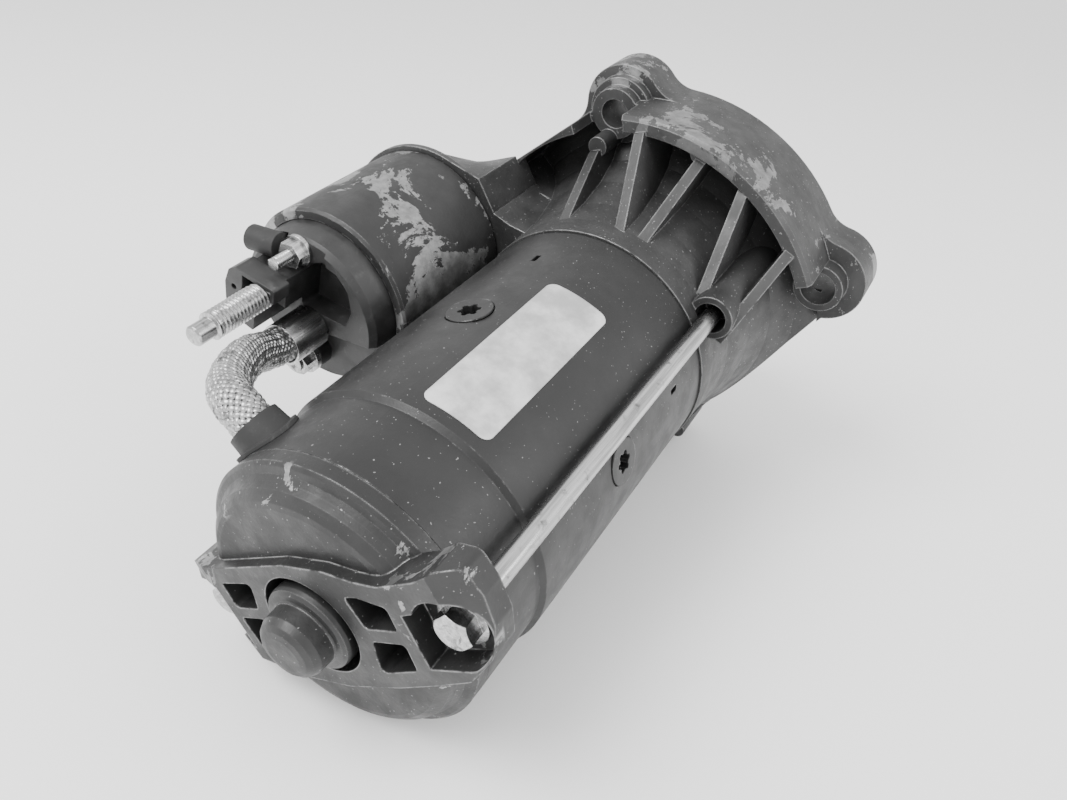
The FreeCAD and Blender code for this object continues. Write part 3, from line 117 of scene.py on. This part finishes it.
class Shader:
    """A small builder for one material's node tree."""

    def __init__(self, name):
        self.material = bpy.data.materials.new(name)
        self.material.use_nodes = True
        self.tree = self.material.node_tree
        self.principled = self.tree.nodes["Principled BSDF"]
        self.place = self.add("ShaderNodeTexCoord").outputs["Object"]

    def add(self, kind, inputs=(), **settings):
        node = self.tree.nodes.new(kind)
        for key, value in settings.items():
            setattr(node, key, value)
        for key, value in dict(inputs).items():
            self.put(node.inputs[key], value)
        return node

    def put(self, socket, value):
        if isinstance(value, bpy.types.NodeSocket):
            self.tree.links.new(value, socket)
        else:
            socket.default_value = value

    def set(self, **values):
        """Shader inputs by name, with spaces written as underscores."""
        for key, value in values.items():
            self.put(self.principled.inputs[key.replace("_", " ")], value)

    def math(self, operation, first, second=0.0, clamp=False):
        node = self.add("ShaderNodeMath", {0: first, 1: second}, operation=operation, use_clamp=clamp)
        return node.outputs[0]

    def noise(self, scale, detail=3.0, roughness=0.55, distortion=0.0, place=None):
        node = self.add("ShaderNodeTexNoise", {
            "Vector": place or self.place, "Scale": scale, "Detail": detail, "Roughness": roughness,
            "Distortion": distortion})
        return node.outputs["Fac"]

    def ramp(self, value, low, high, start=0.0, end=1.0):
        """value mapped smoothly from low..high to start..end."""
        node = self.add("ShaderNodeMapRange", {
            "Value": value, "From Min": low, "From Max": high, "To Min": start, "To Max": end},
            interpolation_type="SMOOTHSTEP")
        return node.outputs["Result"]

    def mix(self, factor, first, second):
        """A colour between two colours, each a socket or a grey level or an RGB triple."""
        node = self.add("ShaderNodeMix", data_type="RGBA")
        self.put(node.inputs[0], factor)
        for socket, value in ((node.inputs[6], first), (node.inputs[7], second)):
            self.put(socket, value if isinstance(value, bpy.types.NodeSocket) else colour(value))
        return node.outputs[2]

    def stretched(self, scale):
        """Object coordinates, scaled differently along each axis."""
        return self.add("ShaderNodeMapping", {"Vector": self.place, "Scale": scale}).outputs["Vector"]

    def radius_and_station(self):
        """Distance from the shaft axis, and X."""
        parts = self.add("ShaderNodeSeparateXYZ", {"Vector": self.place})
        y, z = parts.outputs["Y"], parts.outputs["Z"]
        squares = self.math("ADD", self.math("MULTIPLY", y, y), self.math("MULTIPLY", z, z))
        return self.math("SQRT", squares), parts.outputs["X"]

    def edges(self, reach, sharpness=1.0):
        """1 on edges and corners, 0 on flats."""
        bevel = self.add("ShaderNodeBevel", {"Radius": reach}, samples=6)
        normal = self.add("ShaderNodeNewGeometry").outputs["Normal"]
        dot = self.add("ShaderNodeVectorMath", {0: bevel.outputs["Normal"], 1: normal},
                       operation="DOT_PRODUCT")
        return self.ramp(dot.outputs["Value"], 1.0 - 0.02 / sharpness, 1.0 - 0.25 / sharpness)

    def bump(self, height, distance, strength=1.0, under=None):
        node = self.add("ShaderNodeBump", {"Height": height, "Distance": distance, "Strength": strength})
        if under is not None:
            self.put(node.inputs["Normal"], under)
        return node.outputs["Normal"]

    def soft_edges(self, reach):
        """A normal that rounds edges over a small reach."""
        return self.add("ShaderNodeBevel", {"Radius": reach}, samples=6).outputs["Normal"]


def colour(value):
    if isinstance(value, (int, float)):
        return (value, value, value, 1.0)
    return (*value, 1.0)


def painted(name, paint, bare=0.42, edge=0.0, edge_reach=0.0009, patch=0.0, patch_scale=60, region=None,
            grain=0.25, grain_scale=900, roughness=(0.42, 0.62), speck=0.0):
    """Paint over metal: cloudy dark paint with dust specks, worn to bare metal on edges and in patches."""
    s = Shader(name)
    cloud = s.noise(45, 5, 0.6)
    fine = s.noise(grain_scale, 4, 0.6)
    dark, light = paint
    base = s.mix(s.ramp(cloud, 0.3, 0.72), dark, light)
    worn = 0.0
    if edge:
        broken = s.ramp(s.noise(260, 4, 0.65), 0.62 - 0.42 * edge, 0.78 - 0.42 * edge)
        worn = s.math("MULTIPLY", s.edges(edge_reach), broken)
    if patch:
        blotch = s.ramp(s.noise(patch_scale, 9, 0.68, 0.4), 0.66 - 0.2 * patch, 0.675 - 0.2 * patch)
        if region is not None:
            blotch = s.math("MULTIPLY", blotch, region(s))
        worn = s.math("MAXIMUM", worn, blotch)
    if speck:
        dots = s.ramp(s.noise(1400, 1, 0.5), 0.75 - 0.06 * speck, 0.79 - 0.06 * speck)
        base = s.mix(s.math("MULTIPLY", dots, 0.6), base, 0.3)
    metal = s.mix(s.ramp(s.noise(320, 5, 0.7), 0.3, 0.75), bare * 0.62, bare)
    s.set(Base_Color=s.mix(worn, base, metal))
    s.set(Metallic=worn)
    low, high = roughness
    s.set(Roughness=s.ramp(s.noise(140, 4, 0.6), 0.3, 0.7, low, high))
    relief = s.math("SUBTRACT", s.math("MULTIPLY", fine, grain), s.math("MULTIPLY", worn, 0.35))
    s.set(Normal=s.bump(relief, 0.0003, 0.6, s.soft_edges(0.0004)))
    return s.material


def bare_metal(name, level, roughness=(0.25, 0.5), grime=0.4, tint=(1.0, 1.0, 1.0), streaks=(30, 900, 900)):
    """Plain metal with fine scratches and dark grime in patches."""
    s = Shader(name)
    scratch = s.noise(1.0, 4, 0.7, place=s.stretched(streaks))
    dirt = s.ramp(s.noise(220, 5, 0.65), 0.62 - 0.3 * grime, 0.8 - 0.3 * grime)
    bright = tuple(level * part for part in tint)
    shade = tuple(level * 0.55 * part for part in tint)
    metal = s.mix(s.ramp(scratch, 0.3, 0.7), shade, bright)
    s.set(Base_Color=s.mix(dirt, metal, tuple(level * 0.16 * part for part in tint)))
    s.principled.inputs["Metallic"].default_value = 1.0
    low, high = roughness
    s.set(Roughness=s.ramp(dirt, 0, 1, low, high))
    s.set(Normal=s.bump(scratch, 0.00012, 0.35, s.soft_edges(0.0003)))
    return s.material


def moulded(name, level, roughness=(0.38, 0.6), grain_scale=1500, dust=0.3):
    """Dark moulded plastic or rubber with dust in patches."""
    s = Shader(name)
    cloud = s.ramp(s.noise(120, 5, 0.6), 0.3, 0.75)
    dusty = s.math("MULTIPLY", s.ramp(s.noise(400, 5, 0.7), 0.55, 0.8), dust)
    base = s.mix(cloud, level * 0.7, level * 1.3)
    s.set(Base_Color=s.mix(dusty, base, level * 3 + 0.05))
    low, high = roughness
    s.set(Roughness=s.ramp(cloud, 0, 1, low, high))
    s.set(Normal=s.bump(s.noise(grain_scale, 3, 0.6), 0.0001, 0.35, s.soft_edges(0.0004)))
    return s.material


def rim_region(s):
    """The flange's rim and ears, where the casting's paint has worn off most."""
    radius, station = s.radius_and_station()
    outer = s.ramp(radius, 0.056, 0.0595)
    return s.math("MULTIPLY", outer, s.ramp(station, -0.034, -0.030))


def cap_bead_region(s):
    """The end cap's outer beads, where handling has worn the paint."""
    radius, station = s.radius_and_station()
    return s.math("MULTIPLY", s.ramp(radius, 0.0285, 0.031), s.ramp(station, -0.176, -0.178))


def paint_node(node, material):
    data = NODES[node].data
    data.materials.clear()
    data.materials.append(material)


def dress_nodes():
    """A material of its own kind for every CAD node."""
    casting = painted("cast_housing", (0.018, 0.045), bare=0.34, edge=0.7, patch=0.5, patch_scale=48,
                      region=rim_region, grain=0.6, grain_scale=700, roughness=(0.42, 0.62), speck=0.6)
    tube = painted("yoke_paint", (0.009, 0.017), bare=0.4, edge=0.2, grain=0.2, roughness=(0.36, 0.5),
                   speck=0.3)
    cap = painted("cap_paint", (0.009, 0.02), bare=0.4, edge=0.55, patch=0.35, patch_scale=90,
                  region=cap_bead_region, grain=0.4, roughness=(0.35, 0.55), speck=0.4)
    can = painted("can_paint", (0.011, 0.024), bare=0.4, edge=0.5, patch=0.75, patch_scale=40, grain=0.3)
    steel = bare_metal("worn_steel", 0.5)
    dark_steel = bare_metal("dark_steel", 0.16, grime=0.6)
    bright = bare_metal("bright_steel", 0.62, grime=0.2)
    copper = bare_metal("copper", 0.62, tint=(1.0, 0.5, 0.3), grime=0.3)
    bronze = bare_metal("bronze", 0.55, tint=(1.0, 0.72, 0.4), grime=0.3)
    plastic = moulded("black_plastic", 0.022)
    rubber = moulded("black_rubber", 0.014, roughness=(0.55, 0.75), dust=0.5)
    carbon = moulded("carbon", 0.03, dust=0.1)
    paper = moulded("label_film", 0.5, roughness=(0.4, 0.5), dust=0.0)
    choice = {"drive_housing": casting, "yoke": tube, "pole_screws": tube, "end_cap": cap,
              "rear_dust_cap": cap, "solenoid_can": can, "label_plate": paper}
    by_slot = {"bright_steel": bright, "dark_steel": dark_steel, "sintered_bronze": bronze, "copper": copper,
               "carbon": carbon, "black_plastic": plastic, "black_rubber": rubber, "braid": steel}
    slots = {part["node"]: part["material_slot"] for part in frame["record"]["subparts"]}
    for node in NODES:
        paint_node(node, choice.get(node) or by_slot[slots[node]])


# ---------------------------------------------------------------- field lead

LEAD_POINTS = [Vector(point) * MM for point in (
    (-113.6, 63.6, 14.6), (-127, 63.6, 14.6), (-140.2, 59, 22.8),
    (-158.6, 46.5, 28.2), (-165.3, 32.6, 30.3), (-165.5, 22.6, 22.9))]
LEAD_RADIUS = 0.0056
STRANDS = 16


def route_line():
    """Points along the lead, read from the NURBS spline through its route."""
    curve = bpy.data.curves.new("lead_route", "CURVE")
    curve.dimensions = "3D"
    spline = curve.splines.new("NURBS")
    spline.points.add(len(LEAD_POINTS) - 1)
    for point, place in zip(spline.points, LEAD_POINTS):
        point.co = (*place, 1)
    spline.order_u = 3
    spline.use_endpoint_u = True
    spline.resolution_u = 90
    holder = bpy.data.objects.new("lead_route", curve)
    bpy.context.scene.collection.objects.link(holder)
    bpy.context.view_layer.update()
    mesh = bpy.data.meshes.new_from_object(holder)
    line = [vertex.co.copy() for vertex in mesh.vertices]
    bpy.data.objects.remove(holder)
    bpy.data.meshes.remove(mesh)
    return line


def frames_along(line):
    """A place, two square directions and the distance from the start, for each point of a line."""
    side = Vector((0, 0, 1))
    frames = []
    travelled = 0.0
    for index, place in enumerate(line):
        ahead = line[min(index + 1, len(line) - 1)]
        behind = line[max(index - 1, 0)]
        along = (ahead - behind).normalized()
        side = (side - along * side.dot(along)).normalized()
        if index:
            travelled += (place - line[index - 1]).length
        frames.append((place, side, along.cross(side), travelled))
    return frames


def add_tube(mesh, centres, normals, radii, sides):
    """A closed tube along the centres, with an oval section: wide square to the normal, thick along it."""
    rings = []
    wide, thick = radii
    for index, (centre, normal) in enumerate(zip(centres, normals)):
        ahead = centres[min(index + 1, len(centres) - 1)] - centres[max(index - 1, 0)]
        across = ahead.normalized().cross(normal).normalized()
        rings.append([mesh.verts.new(centre + across * (wide * math.cos(math.tau * step / sides))
                                     + normal * (thick * math.sin(math.tau * step / sides)))
                      for step in range(sides)])
    for first, second in zip(rings, rings[1:]):
        for step in range(sides):
            after = (step + 1) % sides
            mesh.faces.new((first[step], first[after], second[after], second[step]))
    mesh.faces.new(reversed(rings[0]))
    mesh.faces.new(rings[-1])


def plaited_lead(material, shade_core_material):
    """A braid of flat bundles crossing over and under, round a dark tube of painted shade that shows between
    the strands.
    """
    frames = frames_along(route_line())
    pitch = 0.030
    mesh = bmesh.new()
    for hand in (1, -1):
        for strand in range(STRANDS):
            centres = []
            normals = []
            for place, side, other, travelled in frames:
                turn = hand * math.tau * travelled / pitch + math.tau * strand / STRANDS
                over = hand * math.cos(math.tau * travelled / pitch * STRANDS)
                out = side * math.cos(turn) + other * math.sin(turn)
                fold = 0.00012 * math.sin(math.tau * travelled / 0.0061 + 1.3 * math.sin(turn))
                centres.append(place + out * (LEAD_RADIUS - 0.00062 + 0.00022 * over + fold))
                normals.append(out)
            add_tube(mesh, centres, normals, (0.00072, 0.00026), 6)
    data = bpy.data.meshes.new("plaited_lead")
    mesh.to_mesh(data)
    mesh.free()
    data.materials.append(material)
    data.shade_smooth()
    braid = bpy.data.objects.new("plaited_lead", data)
    bpy.context.scene.collection.objects.link(braid)
    # The dark tube inside the braid is painted shade: its colour stands for the shade between and behind the
    # strands.
    core_mesh = bmesh.new()
    core_radius = LEAD_RADIUS - 0.0011
    add_tube(core_mesh, [place for place, *_ in frames], [side for _, side, *_ in frames],
             (core_radius, core_radius), 32)
    core_data = bpy.data.meshes.new("lead_shade_core")
    core_mesh.to_mesh(core_data)
    core_mesh.free()
    core_data.materials.append(shade_core_material)
    core_data.shade_smooth()
    core = bpy.data.objects.new("lead_shade_core", core_data)
    bpy.context.scene.collection.objects.link(core)
    for piece in (braid, core):
        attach(piece, "base")
        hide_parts("field_lead")


# ---------------------------------------------------------------- studs

BATTERY_RADIUS = 0.004
MOTOR_RADIUS = 0.003


def stud_axes():
    """The place of each stud's axis across the shaft, from its CAD box; a head widens the box one way in Z."""
    battery, motor, signal = (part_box(node) for node in ("battery_stud", "motor_stud", "signal_stud"))
    return {"battery_stud": ((battery[0].y + battery[1].y) / 2, battery[1].z - BATTERY_RADIUS),
            "motor_stud": ((motor[0].y + motor[1].y) / 2, motor[0].z + MOTOR_RADIUS),
            "signal_stud": ((signal[0].y + signal[1].y) / 2, (signal[0].z + signal[1].z) / 2)}


def threaded_stud(node, material, before, thread, after):
    """A stud in place of its CAD node: plain corners (station, radius), a thread, and plain corners again."""
    start, end, radius, pitch = thread
    across, up = stud_axes()[node]
    depth = 0.6 * pitch
    sides = 48
    rows_per_turn = 12
    count = round((end - start) / pitch * rows_per_turn)
    rows = [(station, corner, 0.0) for station, corner in before]
    for step in range(count + 1):
        fade = min(1.0, 12 * min(step, count - step) / count)
        rows.append((start + (end - start) * step / count, radius, fade * depth))
    rows += [(station, corner, 0.0) for station, corner in after]
    mesh = bmesh.new()
    rings = []
    for station, outer, groove in rows:
        ring = []
        for side in range(sides):
            turn = math.tau * side / sides
            phase = ((station - start) / pitch - turn / math.tau) % 1.0
            reach = outer - groove * abs(2 * phase - 1)
            ring.append(mesh.verts.new((station, across + reach * math.cos(turn), up + reach * math.sin(turn))))
        rings.append(ring)
    for first, second in zip(rings, rings[1:]):
        for side in range(sides):
            following = (side + 1) % sides
            mesh.faces.new((first[side], second[side], second[following], first[following]))
    mesh.faces.new(rings[0])
    mesh.faces.new(reversed(rings[-1]))
    bmesh.ops.recalc_face_normals(mesh, faces=mesh.faces)
    data = bpy.data.meshes.new(node + "_threaded")
    mesh.to_mesh(data)
    mesh.free()
    data.materials.append(material)
    piece = bpy.data.objects.new(node + "_threaded", data)
    bpy.context.scene.collection.objects.link(piece)
    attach(piece, "base")
    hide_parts(node)


def studs():
    """The studs of the solenoid's switch, with rolled threads."""
    steel = bare_metal("thread_steel", 0.6, roughness=(0.22, 0.42), grime=0.25)
    threaded_stud("battery_stud", steel, [(-0.1478, 0.0024), (-0.1473, 0.0029), (-0.1422, 0.0029)],
                  (-0.1418, -0.1186, BATTERY_RADIUS, 0.00125),
                  [(-0.1185, 0.003), (-0.1011, 0.003), (-0.1011, 0.004), (-0.0981, 0.004)])
    threaded_stud("motor_stud", steel, [(-0.118, 0.0024)], (-0.1179, -0.1012, MOTOR_RADIUS, 0.001),
                  [(-0.1011, 0.003), (-0.1006, 0.003)])
    threaded_stud("signal_stud", steel, [(-0.1212, 0.0014)], (-0.121, -0.1055, 0.0019, 0.0007),
                  [(-0.1054, 0.0019), (-0.105, 0.0019)])


make_camera()
make_studio()
dress_nodes()
# The second material, braid_shadow, is the painted shade inside the braid.
plaited_lead(bare_metal("tinned_braid", 0.55, roughness=(0.35, 0.6), grime=0.35, streaks=(900, 900, 900)),
             moulded("braid_shadow", 0.02, dust=0.2))
studs()
